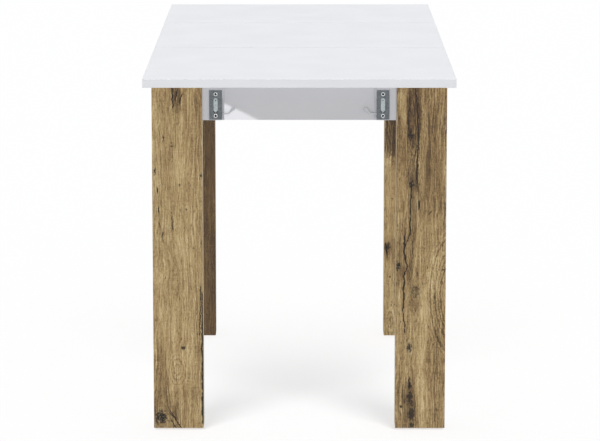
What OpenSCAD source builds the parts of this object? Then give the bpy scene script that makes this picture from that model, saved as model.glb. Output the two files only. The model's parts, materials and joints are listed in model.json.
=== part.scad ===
// Dining table with a lift-off end leaf that rests on steel bars drawn out of the frame.
// X runs across the table and Y along it, with the plain end at -Y and the leaf at +Y.
// The origin is on the floor, under the middle of the table with its leaf on.

/* [Top] */
// Length of the fixed top
base_l = 1100; // [900:10:1400]
// Length of the fixed top's near board
near_board_l = 578; // [450:1:650]
// Length of the end leaf
leaf_l = 440; // [400:10:560]
// Width of the table
table_w = 670; // [560:5:900]
// Height of the top surface above the floor
table_h = 775; // [600:5:950]
// Thickness of the top's boards
board_t = 18; // [15:1:30]
// Thickness of the plastic edging
edging_t = 1; // [0.5:0.1:2]
// Gap at each seam of the top
seam_gap = 0.6; // [0.4:0.1:2]
// How far the fixed top reaches past the legs at each end
end_overhang = 35; // [20:1:60]
// How far the top reaches past the legs at each side
side_overhang = 18; // [5:1:60]

/* [Legs] */
// Width of a leg, across the table
leg_w = 108; // [80:1:130]
// Depth of a leg, along the table
leg_d = 60; // [52:1:90]
// Thickness of a leg's board
leg_wall = 16; // [10:1:18]
// Height of the block glued into a leg's head
head_block_h = 110; // [90:5:160]
// Height of the block glued into a leg's foot
foot_block_h = 60; // [40:5:100]
// Diameter of a glide
glide_d = 24; // [14:1:26]
// Height of a glide
glide_h = 4; // [3:0.5:8]

/* [Frame] */
// Height of the aprons and rails
apron_h = 75; // [70:1:110]
// Thickness of the aprons and the cross brace
apron_t = 16; // [12:1:22]
// Width of the channel that the bars run in
channel_w = 27; // [24:1:40]
// Thickness of the board that closes the channel
cover_t = 5; // [3:0.5:10]
// How far the rails end behind the legs' faces
rail_setback = 3; // [2:0.5:10]
// How far an end apron stands behind the rails' ends
end_apron_setback = 4; // [3.5:0.5:15]
// Height of the cross brace
brace_h = 60; // [40:1:70]

/* [Bars] */
// Length of a bar
bar_l = 500; // [380:5:500]
// Width of a bar
bar_w = 9; // [8:0.5:12]
// Height of a bar
bar_h = 30; // [24:1:32]
// Wall of a bar
bar_wall = 1.5; // [1:0.1:3]
// Height of the bars' middle above the aprons' lower edge
bar_rise = 33; // [30:1:36]
// How far a bar draws out
bar_travel = 360; // [200:5:360]
// Gap all round a bar where it is guided
bar_clearance = 0.4; // [0.3:0.1:1]
// Length of an inner guide
guide_l = 20; // [12:1:40]
// Distance from a rail's end to its inner guide
guide_inset = 100; // [60:5:115]
// Diameter of a bar's stop pin
stop_pin_d = 5; // [3:0.5:6]
// How far a stop pin stands out at each side of its bar
stop_pin_reach = 3; // [1.5:0.5:4]

/* [Guide plates] */
// Width of a guide plate
plate_w = 27; // [22:1:27]
// Height of a guide plate
plate_h = 63; // [55:1:66]
// Thickness of a guide plate
plate_t = 2; // [1.5:0.1:3]
// How far a plate's slot reaches below its bar
plate_slot_drop = 1.6; // [0:0.1:2]
// Distance between a plate's two screws
plate_screw_pitch = 47; // [45:0.5:50]
// Diameter of a plate screw's head
plate_screw_head_d = 9; // [7:0.5:10]
// Diameter of a plate screw's shank
plate_screw_d = 4; // [3:0.5:4.5]
// Length of a plate screw behind the plate
plate_screw_l = 20; // [15:1:25]

/* [Latches] */
// Thickness of a bar latch
latch_t = 2; // [1.5:0.1:3]
// Width of a bar latch's arm near its pivot
latch_arm_w = 3; // [2.4:0.1:4]
// Width of the tab at the arm's end
latch_tab_w = 6; // [4:0.1:7]
// Radius of a bar latch's boss
latch_boss_r = 5.5; // [5:0.1:6]
// Straight run of a bar latch's arm from its pivot
latch_run = 24; // [18:0.5:30]
// Distance from a leaf hook's pivot to its stud
hook_reach = 44; // [40:1:50]
// Width of a leaf hook
hook_w = 16; // [14:1:20]
// Thickness of a leaf hook
hook_t = 2.5; // [2:0.1:4]
// Diameter of a leaf stud
stud_d = 6; // [5:0.5:7]

/* [Leaf] */
// Height of a leaf cleat
cleat_h = 36; // [34:1:45]
// Length of a leaf cleat
cleat_l = 330; // [250:5:380]
// Width of the leaf's stiffener
stiffener_w = 16; // [12:1:30]

/* [Fasteners] */
// Diameter of a leg bolt
leg_bolt_d = 8; // [6:0.5:8]
// Length of a leg bolt under its head
leg_bolt_l = 80; // [78:1:86]
// Diameter of a wooden dowel
dowel_d = 8; // [6:0.5:8]
// Length of a wooden dowel
dowel_l = 32; // [24:1:36]
// Length of a top bracket's flange
bracket_flange = 25; // [20:1:35]
// Width of a top bracket
bracket_w = 20; // [15:1:30]
// Thickness of the brackets and seam plates
strap_t = 2; // [1.5:0.1:3]
// Length of a seam plate
seam_plate_l = 70; // [60:1:90]
// Diameter of a small screw's head
screw_head_d = 8; // [6:0.5:9]
// Diameter of a small screw's shank
screw_d = 3.5; // [3:0.5:4]
// Length of a small screw
screw_l = 14; // [10:1:14]

/* [Hidden] */

$fn = 48;
cut = 1;                      // how far a cutter runs past the face it opens
fit = 0.05;                   // gap all round a shaft that turns in its bore
run = 0.3;                    // gap between faces that slide past each other
recess_t = 1.1;               // width of a cross recess's slots
recess_h = 1.2;               // depth of a cross recess

white = [0.93, 0.93, 0.94];
shade_white = [0.82, 0.83, 0.85];
oak = [0.60, 0.46, 0.30];
raw_wood = [0.78, 0.66, 0.48];
zinc = [0.55, 0.57, 0.58];
bright_zinc = [0.70, 0.73, 0.73];
nylon = [0.88, 0.88, 0.84];
dark_plastic = [0.22, 0.20, 0.19];

// The top, from its near end to the far end of the leaf
total_l = base_l + leaf_l;
y_near = -total_l / 2;
y_seam = y_near + near_board_l;
y_base_end = y_near + base_l;
y_leaf_end = y_near + total_l;
z_under = table_h - board_t;
half_w = table_w / 2;

// The frame, centred on the fixed top
frame_y = y_near + base_l / 2;
leg_face = base_l / 2 - end_overhang;
rail_end = leg_face - rail_setback;
z_apron = z_under - apron_h;
x_leg_out = half_w - side_overhang;
x_leg_in = x_leg_out - leg_w;
x_channel_out = x_leg_in - apron_t;
x_channel_in = x_channel_out - channel_w;
x_cover_in = x_channel_in - cover_t;
end_apron_face = rail_end - end_apron_setback;

// The bars and what guides them
x_bar = (x_channel_out + x_channel_in) / 2;
z_bar = z_apron + bar_rise;
channel_gap = 2;
z_channel_low = z_bar - bar_h / 2 - channel_gap;
z_channel_high = z_bar + bar_h / 2 + channel_gap;
bar_lead = 1;                 // how far a stored bar stands out of the rail's end
bar_end_t = 3;
rivet_d = 7.5;
rivet_h = 0.8;
rivet_inset = 5;
rivet_up = bar_h / 2 - rivet_inset;
rivet_bore_d = 2.4;
stop_pin_inset = 10;
plate_screw_recess_w = 5;

// The bar latches, which turn on the lower plate screws
z_latch = z_bar - plate_screw_pitch / 2;
latch_recess_spare = 0.4;
latch_recess = latch_t + 2 * run + latch_recess_spare;
latch_nose_gap = 0.4;
latch_nose_r = plate_screw_pitch / 2 - bar_h / 2 - latch_nose_gap;
latch_ledge_gap = 0.6;
latch_ledge = z_latch - latch_boss_r - latch_ledge_gap;
latch_arm_rise = 4.5;
latch_bend = 50;
latch_bend_r = 9;
latch_link = 6;
latch_flare_r = 8;
latch_flare = 30;
latch_nose_tip_r = 2;
latch_stem_w = 3.6;
latch_tip_swell = 0.3;
latch_steps = 8;
latch_bend_at = [latch_run, latch_arm_rise + latch_bend_r];
latch_link_at = latch_bend_at + latch_bend_r * [sin(latch_bend), -cos(latch_bend)];
latch_flare_at = latch_link_at + latch_link * [cos(latch_bend), sin(latch_bend)]
    + latch_flare_r * [sin(latch_bend), -cos(latch_bend)];
latch_tip_at = latch_flare_at + latch_flare_r
    * [cos(latch_bend + 90 - latch_flare), sin(latch_bend + 90 - latch_flare)];

// The cross brace and the seam plates
seam_plate_w = 20;
seam_plate_x = 110;
seam_plate_screw_inset = 10;
seam_plate_screw_y = [-1, 1] * (seam_plate_l / 2 - seam_plate_screw_inset);
brace_gap = 12;
brace_y = y_seam - seam_plate_l / 2 - brace_gap - apron_t / 2;
seam_dowel_inset = 95;
seam_dowel_x = [-1, 0, 1] * (half_w - seam_dowel_inset);

// The legs' fixings
leg_bolt_above_apron = 8.5;
leg_bolt_below_top = 12.5;
leg_bolt_z = [z_apron + leg_bolt_above_apron, z_under - leg_bolt_below_top];
leg_bolt_inset = 33;
leg_bolt_head_d = 14;
leg_bolt_head_t = 3;
leg_bolt_hex_d = 5.2;
leg_bolt_clearance = 0.2;
washer_d = 16;
washer_t = 1.6;
insert_d = 11;
insert_l = 13;
glide_pin_d = 3;
glide_pin_l = 15;

// The dowels that hold the end aprons and the brace between the rails
dowel_in_batten = 6;
dowel_above_apron = 8;
dowel_below_top = 9;
end_dowel_z = [z_apron + dowel_above_apron, z_under - dowel_below_top];
brace_dowel_z = z_under - dowel_below_top;

// The top brackets
bracket_x = 110;
bracket_rail_y = 250;
bracket_screw_inset = 9;
bracket_screw_at = bracket_flange - bracket_screw_inset;
screw_head_t = 2;

// The leaf's parts
cleat_start = 10;
stiffener_inset = 40;
stiffener_h = 30;
stiffener_end = 30;
leaf_screw_inset = 25;
leaf_screw_y = [leaf_screw_inset, cleat_l / 2, cleat_l - leaf_screw_inset];
stiffener_screw_inset = 100;
stiffener_screw_x = [-1, 0, 1] * (half_w - stiffener_screw_inset);
cleat_groove_top = z_bar + bar_h / 2 + run;
leaf_screw_bite = 12;
hook_x = 110;
hook_pivot_inset = 22;
hook_boss_d = 18;
hook_slot_gap = 0.5;
hook_swing = 80;
hook_tail = 8;
stud_drop = 5;
stud_bite = 12;

// ---- Helpers ----

// A box from its low corner to its high corner.
module block(low, high) {
    translate(low)
        cube(high - low);
}

// Draws children made for the near right corner of the frame at any of the four corners.
module corner(far, left) {
    translate([0, frame_y, 0])
        mirror([0, far ? 1 : 0, 0])
            mirror([left ? 1 : 0, 0, 0])
                children();
}

module all_corners() {
    for (far = [false, true])
        for (left = [false, true])
            corner(far, left)
                children();
}

// A board's piece of the frame is made for the right side and mirrored for the left.
module side(left) {
    mirror([left ? 1 : 0, 0, 0])
        children();
}

// A rod along X, Y or Z with its first end at the origin.
module rod_x(d, l) {
    rotate([0, 90, 0])
        cylinder(d = d, h = l);
}

module rod_y(d, l) {
    rotate([-90, 0, 0])
        cylinder(d = d, h = l);
}

// The bars' outline: a tall strip with round ends, in the XZ plane.
module pill(w, h, l) {
    rotate([90, 0, 0])
        translate([0, 0, -l])
            linear_extrude(l) {
                square([w, h - w], center = true);
                for (end = [-1, 1])
                    translate([0, end * (h - w) / 2])
                        circle(d = w);
            }
}

// A small pan-head screw, pointing up, with its head's seat at the origin.
module pan_screw(l) {
    cylinder(d = screw_d, h = l);
    difference() {
        translate([0, 0, -screw_head_t])
            cylinder(d = screw_head_d, h = screw_head_t);
        cross_recess(-screw_head_t, screw_head_d / 2);
    }
}

// A cross recess that opens downwards at a height, as wide as told.
module cross_recess(z, w) {
    for (turn = [0, 90])
        rotate([0, 0, turn])
            translate([-w / 2, -recess_t / 2, z - cut])
                cube([w, recess_t, recess_h + cut]);
}

// ---- Where the fasteners go ----

module at_plate_screws() {
    all_corners()
        for (end = [-1, 1])
            translate([x_bar, -rail_end, z_bar + end * plate_screw_pitch / 2])
                children();
}

module at_seam_dowels() {
    for (x = seam_dowel_x)
        translate([x, y_seam - dowel_l / 2, z_under + board_t / 2])
            children();
}

module at_seam_plates() {
    for (s = [-1, 1])
        translate([s * seam_plate_x, y_seam, z_under])
            children();
}

module at_seam_plate_screws() {
    at_seam_plates()
        for (y = seam_plate_screw_y)
            translate([0, y, -strap_t])
                children();
}

module at_frame_dowels() {
    x = x_channel_in + dowel_in_batten - dowel_l;
    all_corners()
        for (z = end_dowel_z)
            translate([x, -end_apron_face + apron_t / 2, z])
                children();
    for (left = [false, true])
        side(left)
            translate([x, brace_y, brace_dowel_z])
                children();
}

module at_leg_bolts() {
    all_corners()
        for (z = leg_bolt_z)
            translate([x_cover_in, -leg_face + leg_bolt_inset, z])
                children();
}

// Each bracket stands with its upright flange on the face at Y = 0 and its flat flange on the top.
module at_brackets() {
    all_corners()
        translate([bracket_x, -end_apron_face + apron_t, z_under])
            children();
    all_corners()
        translate([x_cover_in, -bracket_rail_y, z_under])
            rotate([0, 0, 90])
                children();
}

module at_bracket_top_screws() {
    at_brackets()
        translate([0, bracket_screw_at, -strap_t])
            children();
}

module at_bracket_side_screws() {
    at_brackets()
        translate([0, strap_t, -bracket_screw_at])
            rotate([90, 0, 0])
                children();
}

module at_leaf_cleat_screws() {
    for (left = [false, true])
        side(left)
            for (y = leaf_screw_y)
                translate([x_bar, y_base_end + cleat_start + y, z_under])
                    children();
}

module at_stiffener_screws() {
    for (x = stiffener_screw_x)
        translate([x, y_leaf_end - stiffener_inset, z_under])
            children();
}

module at_studs() {
    for (s = [-1, 1])
        translate([s * hook_x, y_base_end + hook_reach - hook_pivot_inset, z_under])
            children();
}

module at_hook_pivots() {
    for (left = [false, true])
        side(left)
            translate([hook_x, y_base_end - hook_pivot_inset, z_under])
                children();
}

// ---- The top ----

module panel_core(y0, y1) {
    block([-half_w + edging_t, y0 + edging_t, z_under], [half_w - edging_t, y1 - edging_t, table_h]);
}

module panel_edging(y0, y1) {
    difference() {
        block([-half_w, y0, z_under], [half_w, y1, table_h]);
        block([-half_w + edging_t, y0 + edging_t, z_under - cut],
              [half_w - edging_t, y1 - edging_t, table_h + cut]);
    }
}

module seam_dowel_holes() {
    at_seam_dowels()
        rod_y(dowel_d, dowel_l);
}

// Pilot holes that the underside's screws fill, in whichever board they reach.
module underside_holes() {
    at_seam_plate_screws()
        cylinder(d = screw_d, h = screw_l);
    at_bracket_top_screws()
        cylinder(d = screw_d, h = screw_l);
    at_hook_pivots()
        cylinder(d = plate_screw_d, h = screw_l - hook_t);
}

module top_near_board() {
    color(white)
        difference() {
            panel_core(y_near, y_seam - seam_gap / 2);
            seam_dowel_holes();
            underside_holes();
        }
}

module top_far_board() {
    color(white)
        difference() {
            panel_core(y_seam + seam_gap / 2, y_base_end);
            seam_dowel_holes();
            underside_holes();
        }
}

module leaf_board() {
    color(white)
        difference() {
            panel_core(y_base_end + seam_gap, y_leaf_end);
            at_leaf_cleat_screws()
                cylinder(d = screw_d, h = leaf_screw_bite);
            at_stiffener_screws()
                cylinder(d = screw_d, h = leaf_screw_bite);
            at_studs()
                cylinder(d = stud_d, h = stud_bite);
        }
}

module top_near_edging() {
    color(shade_white)
        difference() {
            panel_edging(y_near, y_seam - seam_gap / 2);
            seam_dowel_holes();
        }
}

module top_far_edging() {
    color(shade_white)
        difference() {
            panel_edging(y_seam + seam_gap / 2, y_base_end);
            seam_dowel_holes();
        }
}

module leaf_edging() {
    color(shade_white)
        panel_edging(y_base_end + seam_gap, y_leaf_end);
}

module seam_dowels() {
    color(raw_wood)
        at_seam_dowels()
            rod_y(dowel_d, dowel_l);
}

module seam_plates() {
    color(zinc)
        difference() {
            at_seam_plates()
                translate([-seam_plate_w / 2, -seam_plate_l / 2, -strap_t])
                    cube([seam_plate_w, seam_plate_l, strap_t]);
            at_seam_plate_screws()
                cylinder(d = screw_d, h = screw_l);
        }
}

module seam_plate_screws() {
    color(bright_zinc)
        at_seam_plate_screws()
            pan_screw(screw_l);
}

// ---- The frame ----

module frame_dowel_holes() {
    at_frame_dowels()
        rod_x(dowel_d, dowel_l);
}

module leg_bolt_holes() {
    at_leg_bolts()
        translate([-cut, 0, 0])
            rod_x(leg_bolt_d + 2 * leg_bolt_clearance, leg_bolt_l + cut);
}

module plate_screw_holes() {
    at_plate_screws()
        rod_y(plate_screw_d, plate_screw_l);
}

module bracket_side_holes() {
    at_bracket_side_screws()
        cylinder(d = screw_d, h = screw_l);
}

// A board of a rail, running from one end of the frame to the other.
module rail_board(left, x0, x1, z0, z1, end) {
    side(left)
        block([x0, frame_y - end, z0], [x1, frame_y + end, z1]);
}

module side_apron(left) {
    color(shade_white)
        difference() {
            rail_board(left, x_channel_out, x_leg_in, z_apron, z_under, rail_end);
            leg_bolt_holes();
        }
}

module upper_batten(left) {
    color(shade_white)
        difference() {
            rail_board(left, x_channel_in, x_channel_out, z_channel_high, z_under, rail_end);
            leg_bolt_holes();
            plate_screw_holes();
            frame_dowel_holes();
            bracket_side_holes();
        }
}

// The lower batten's ends are cut back for the latches, above a ledge that backs the plate.
module lower_batten(left) {
    color(shade_white)
        difference() {
            rail_board(left, x_channel_in, x_channel_out, z_apron, z_channel_low, rail_end);
            leg_bolt_holes();
            plate_screw_holes();
            frame_dowel_holes();
            all_corners()
                block([x_channel_in - cut, -rail_end - cut, latch_ledge],
                      [x_channel_out + cut, -rail_end + latch_recess, z_channel_low + cut]);
        }
}

module rail_cover(left) {
    color(shade_white)
        difference() {
            rail_board(left, x_cover_in, x_channel_in, z_apron, z_under, rail_end - latch_recess);
            leg_bolt_holes();
            frame_dowel_holes();
            bracket_side_holes();
        }
}

module end_apron(far) {
    color(white)
        difference() {
            corner(far, false)
                block([-x_cover_in, -end_apron_face, z_apron],
                      [x_cover_in, -end_apron_face + apron_t, z_under]);
            frame_dowel_holes();
            bracket_side_holes();
        }
}

module cross_brace() {
    color(raw_wood)
        difference() {
            block([-x_cover_in, brace_y - apron_t / 2, z_under - brace_h],
                  [x_cover_in, brace_y + apron_t / 2, z_under]);
            frame_dowel_holes();
        }
}

module frame_dowels() {
    color(raw_wood)
        at_frame_dowels()
            rod_x(dowel_d, dowel_l);
}

// ---- Guide plates, bars and latches ----

module guide_plate(far, left) {
    color(zinc)
        corner(far, left)
            difference() {
                block([x_bar - plate_w / 2, -rail_end - plate_t, z_bar - plate_h / 2],
                      [x_bar + plate_w / 2, -rail_end, z_bar + plate_h / 2]);
                translate([x_bar, -rail_end - plate_t - cut, z_bar - plate_slot_drop / 2])
                    pill(bar_w + 2 * bar_clearance,
                         bar_h + 2 * bar_clearance + plate_slot_drop,
                         plate_t + 2 * cut);
                for (end = [-1, 1])
                    translate([x_bar, -rail_end, z_bar + end * plate_screw_pitch / 2])
                        plate_screw_head();
            }
}

// A countersunk head along +Y that fills the plate's thickness.
module plate_screw_head() {
    rotate([-90, 0, 0])
        translate([0, 0, -plate_t])
            cylinder(d1 = plate_screw_head_d, d2 = plate_screw_d, h = plate_t);
}

module plate_screws() {
    color(bright_zinc)
        at_plate_screws()
            difference() {
                union() {
                    plate_screw_head();
                    rod_y(plate_screw_d, plate_screw_l);
                }
                rotate([-90, 0, 0])
                    cross_recess(-plate_t, plate_screw_recess_w);
            }
}

module inner_bar_guides() {
    color(nylon)
        all_corners()
            difference() {
                block([x_channel_in, -rail_end + guide_inset, z_channel_low],
                      [x_channel_out, -rail_end + guide_inset + guide_l, z_channel_high]);
                translate([x_bar, -rail_end + guide_inset - cut, z_bar])
                    pill(bar_w + 2 * bar_clearance, bar_h + 2 * bar_clearance, guide_l + 2 * cut);
            }
}

// A flat oval tube whose outer end is closed by a hollow rivet's head, drawn out by a distance along -Y.
module bar(far, left, out) {
    color(bright_zinc)
        corner(far, left)
            translate([x_bar, -rail_end - bar_lead - out, z_bar]) {
                difference() {
                    pill(bar_w, bar_h, bar_l);
                    translate([0, bar_end_t, 0])
                        pill(bar_w - 2 * bar_wall, bar_h - 2 * bar_wall, bar_l);
                    translate([0, -cut, rivet_up])
                        rod_y(rivet_bore_d, bar_end_t + 2 * cut);
                    translate([-bar_w, bar_l - stop_pin_inset, 0])
                        rod_x(stop_pin_d, 2 * bar_w);
                }
                difference() {
                    translate([0, -rivet_h, rivet_up])
                        rod_y(rivet_d, rivet_h);
                    translate([0, -rivet_h - cut, rivet_up])
                        rod_y(rivet_bore_d, rivet_h + 2 * cut);
                }
            }
}

module stop_pin(far, left, out) {
    pin_l = bar_w + 2 * stop_pin_reach;
    color(zinc)
        corner(far, left)
            translate([x_bar - pin_l / 2, -rail_end - bar_lead - out + bar_l - stop_pin_inset, z_bar])
                rod_x(stop_pin_d, pin_l);
}

// Points on a circle's arc, from one angle to another.
function arc_points(centre, r, a0, a1) =
    [for (i = [0 : latch_steps])
        let (a = a0 + (a1 - a0) * i / latch_steps)
        centre + r * [cos(a), sin(a)]];

// One side of the arm, on the left of its middle line or, at -1, on the right: along X, round the bend
// and back. The arm widens to its tab between the two bends.
function latch_arm_side(left) = concat(
    [[0, latch_arm_rise + left * latch_arm_w / 2]],
    arc_points(latch_bend_at, latch_bend_r - left * latch_arm_w / 2, -90, latch_bend - 90),
    arc_points(latch_flare_at, latch_flare_r + left * latch_tab_w / 2,
               latch_bend + 90, latch_bend + 90 - latch_flare));

function reversed(points) = [for (i = [len(points) - 1 : -1 : 0]) points[i]];

// The latch lies flat here with its pivot at the origin and its arm along +X.
module latch_flat() {
    difference() {
        union() {
            cylinder(r = latch_boss_r, h = latch_t);
            translate([-latch_stem_w / 2, 0, 0])
                cube([latch_stem_w, latch_nose_r - latch_nose_tip_r, latch_t]);
            translate([0, latch_nose_r - latch_nose_tip_r, 0])
                cylinder(r = latch_nose_tip_r, h = latch_t);
            linear_extrude(latch_t)
                polygon(concat(
                    latch_arm_side(1),
                    reversed(latch_arm_side(-1))));
            translate(latch_tip_at)
                cylinder(r = latch_tab_w / 2 + latch_tip_swell, h = latch_t);
        }
        translate([0, 0, -cut])
            cylinder(d = plate_screw_d + 2 * fit, h = latch_t + 2 * cut);
    }
}

module latch(far, left) {
    color(bright_zinc)
        corner(far, left)
            translate([x_bar, -rail_end + run + latch_t, z_latch])
                rotate([90, 0, 0])
                    mirror([1, 0, 0])
                        latch_flat();
}

// ---- The legs ----

module leg(far, left) {
    color(oak)
        difference() {
            corner(far, left)
                difference() {
                    block([x_leg_in, -leg_face, glide_h], [x_leg_out, -leg_face + leg_d, z_under]);
                    block([x_leg_in + leg_wall, -leg_face + leg_wall, glide_h - cut],
                          [x_leg_out - leg_wall, -leg_face + leg_d - leg_wall, z_under + cut]);
                }
            leg_bolt_holes();
        }
}

// A block that fills a leg's hollow between two heights.
module leg_block(z0, z1) {
    all_corners()
        block([x_leg_in + leg_wall, -leg_face + leg_wall, z0],
              [x_leg_out - leg_wall, -leg_face + leg_d - leg_wall, z1]);
}

module leg_head_blocks() {
    color(raw_wood)
        difference() {
            leg_block(z_under - head_block_h, z_under);
            leg_bolt_holes();
            at_leg_inserts()
                rod_x(insert_d, insert_l);
        }
}

module leg_foot_blocks() {
    color(raw_wood)
        difference() {
            leg_block(glide_h, glide_h + foot_block_h);
            at_glides()
                cylinder(d = glide_pin_d, h = glide_h + glide_pin_l);
        }
}

module at_leg_inserts() {
    at_leg_bolts()
        translate([x_leg_in + leg_wall - x_cover_in, 0, 0])
            children();
}

module at_glides() {
    all_corners()
        translate([(x_leg_in + x_leg_out) / 2, -leg_face + leg_d / 2, 0])
            children();
}

module leg_bolts() {
    color(bright_zinc)
        at_leg_bolts()
            difference() {
                union() {
                    translate([-washer_t - leg_bolt_head_t, 0, 0])
                        rod_x(leg_bolt_head_d, leg_bolt_head_t);
                    translate([-washer_t, 0, 0])
                        rod_x(leg_bolt_d, leg_bolt_l);
                }
                translate([-washer_t - leg_bolt_head_t - cut, 0, 0])
                    rotate([0, 90, 0])
                        cylinder(d = leg_bolt_hex_d, h = leg_bolt_head_t, $fn = 6);
            }
}

module leg_washers() {
    color(zinc)
        at_leg_bolts()
            translate([-washer_t, 0, 0])
                difference() {
                    rod_x(washer_d, washer_t);
                    translate([-cut, 0, 0])
                        rod_x(leg_bolt_d + 2 * leg_bolt_clearance, washer_t + 2 * cut);
                }
}

module leg_inserts() {
    color(zinc)
        at_leg_inserts()
            difference() {
                rod_x(insert_d, insert_l);
                translate([-cut, 0, 0])
                    rod_x(leg_bolt_d, insert_l + 2 * cut);
            }
}

module leg_glides() {
    color(dark_plastic)
        at_glides() {
            cylinder(d = glide_d, h = glide_h);
            cylinder(d = glide_pin_d, h = glide_h + glide_pin_l);
        }
}

// ---- The top brackets ----

module top_brackets() {
    color(zinc)
        difference() {
            at_brackets() {
                translate([-bracket_w / 2, 0, -strap_t])
                    cube([bracket_w, bracket_flange, strap_t]);
                translate([-bracket_w / 2, 0, -bracket_flange])
                    cube([bracket_w, strap_t, bracket_flange]);
            }
            at_bracket_top_screws()
                cylinder(d = screw_d, h = screw_l);
            bracket_side_holes();
        }
}

module bracket_screws() {
    color(bright_zinc) {
        at_bracket_top_screws()
            pan_screw(screw_l);
        at_bracket_side_screws()
            pan_screw(screw_l);
    }
}

// ---- The leaf ----

// A cleat sits over its bar in a groove that is open at the ends and below.
module leaf_cleat(left) {
    y0 = y_base_end + cleat_start;
    groove_w = bar_w + 2 * bar_clearance;
    color(raw_wood)
        difference() {
            side(left)
                block([x_channel_in, y0, z_under - cleat_h], [x_channel_out, y0 + cleat_l, z_under]);
            side(left)
                block([x_bar - groove_w / 2, y0 - cut, z_under - cleat_h - cut],
                      [x_bar + groove_w / 2, y0 + cleat_l + cut, cleat_groove_top]);
            at_leaf_cleat_screws()
                translate([0, 0, cleat_groove_top - z_under])
                    leaf_screw_body(z_under - cleat_groove_top);
        }
}

module leaf_stiffener() {
    x = half_w - stiffener_end;
    y = y_leaf_end - stiffener_inset;
    color(raw_wood)
        difference() {
            block([-x, y - stiffener_w / 2, z_under - stiffener_h], [x, y + stiffener_w / 2, z_under]);
            at_stiffener_screws()
                translate([0, 0, -stiffener_h])
                    leaf_screw_body(stiffener_h);
        }
}

// A screw through wood of a thickness, its head let in flush from below.
module leaf_screw_body(wood_t) {
    cylinder(d1 = screw_head_d, d2 = screw_d, h = screw_head_t);
    cylinder(d = screw_d, h = wood_t + leaf_screw_bite);
}

module leaf_screws() {
    color(bright_zinc) {
        at_leaf_cleat_screws()
            translate([0, 0, cleat_groove_top - z_under])
                leaf_screw_body(z_under - cleat_groove_top);
        at_stiffener_screws()
            translate([0, 0, -stiffener_h])
                leaf_screw_body(stiffener_h);
    }
}

module leaf_studs() {
    color(bright_zinc)
        at_studs()
            translate([0, 0, -stud_drop])
                cylinder(d = stud_d, h = stud_drop + stud_bite);
}

// A hook swings clear of its stud towards the table's middle, so its slot follows that arc.
module hook_shape() {
    slot_r = stud_d / 2 + hook_slot_gap;
    difference() {
        union() {
            cylinder(d = hook_boss_d, h = hook_t);
            translate([-hook_w / 2, 0, 0])
                cube([hook_w, hook_reach + hook_tail, hook_t]);
        }
        translate([0, 0, -cut])
            cylinder(d = plate_screw_d + 2 * fit, h = hook_t + 2 * cut);
        translate([0, hook_reach, -cut])
            cylinder(r = slot_r, h = hook_t + 2 * cut);
        rotate([0, 0, 90 - hook_swing])
            translate([0, 0, -cut])
                rotate_extrude(angle = hook_swing)
                    translate([hook_reach - slot_r, 0])
                        square([2 * slot_r, hook_t + 2 * cut]);
    }
}

module leaf_hook(left) {
    color(zinc)
        side(left)
            translate([hook_x, y_base_end - hook_pivot_inset, z_under - run - hook_t])
                hook_shape();
}

module hook_screws() {
    color(bright_zinc)
        at_hook_pivots() {
            translate([0, 0, -hook_t - 2 * run])
                cylinder(d = plate_screw_d, h = screw_l + 2 * run);
            translate([0, 0, -hook_t - 2 * run - screw_head_t])
                cylinder(d = screw_head_d, h = screw_head_t);
        }
}

top_near_board();
top_far_board();
leaf_board();
top_near_edging();
top_far_edging();
leaf_edging();
seam_dowels();
seam_plates();
seam_plate_screws();
side_apron(true);  // side_apron_left
side_apron(false);  // side_apron_right
end_apron(false);  // end_apron_near
end_apron(true);  // end_apron_far
cross_brace();
frame_dowels();
upper_batten(true);  // upper_batten_left
upper_batten(false);  // upper_batten_right
lower_batten(true);  // lower_batten_left
lower_batten(false);  // lower_batten_right
rail_cover(true);  // rail_cover_left
rail_cover(false);  // rail_cover_right
guide_plate(false, true);  // guide_plate_near_left
guide_plate(false, false);  // guide_plate_near_right
guide_plate(true, true);  // guide_plate_far_left
guide_plate(true, false);  // guide_plate_far_right
plate_screws();
inner_bar_guides();
bar(false, true, 0);  // near_bar_left
bar(false, false, 0);  // near_bar_right
bar(true, true, bar_travel);  // far_bar_left
bar(true, false, bar_travel);  // far_bar_right
stop_pin(false, true, 0);  // near_stop_pin_left
stop_pin(false, false, 0);  // near_stop_pin_right
stop_pin(true, true, bar_travel);  // far_stop_pin_left
stop_pin(true, false, bar_travel);  // far_stop_pin_right
latch(false, true);  // latch_near_left
latch(false, false);  // latch_near_right
latch(true, true);  // latch_far_left
latch(true, false);  // latch_far_right
leg(false, true);  // leg_near_left
leg(false, false);  // leg_near_right
leg(true, true);  // leg_far_left
leg(true, false);  // leg_far_right
leg_head_blocks();
leg_foot_blocks();
leg_bolts();
leg_washers();
leg_inserts();
leg_glides();
top_brackets();
bracket_screws();
leaf_cleat(true);  // leaf_cleat_left
leaf_cleat(false);  // leaf_cleat_right
leaf_stiffener();
leaf_screws();
leaf_studs();
leaf_hook(true);  // leaf_hook_left
leaf_hook(false);  // leaf_hook_right
hook_screws();
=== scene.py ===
"""Looks of an extending dining table: its refined pieces, materials, light and camera.

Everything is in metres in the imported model's frame: X across the table, Y along it, Z up.
The wood's figure is written in millimetres on a leg's faces, as a joiner would mark it out.
"""

import json
import math

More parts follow.
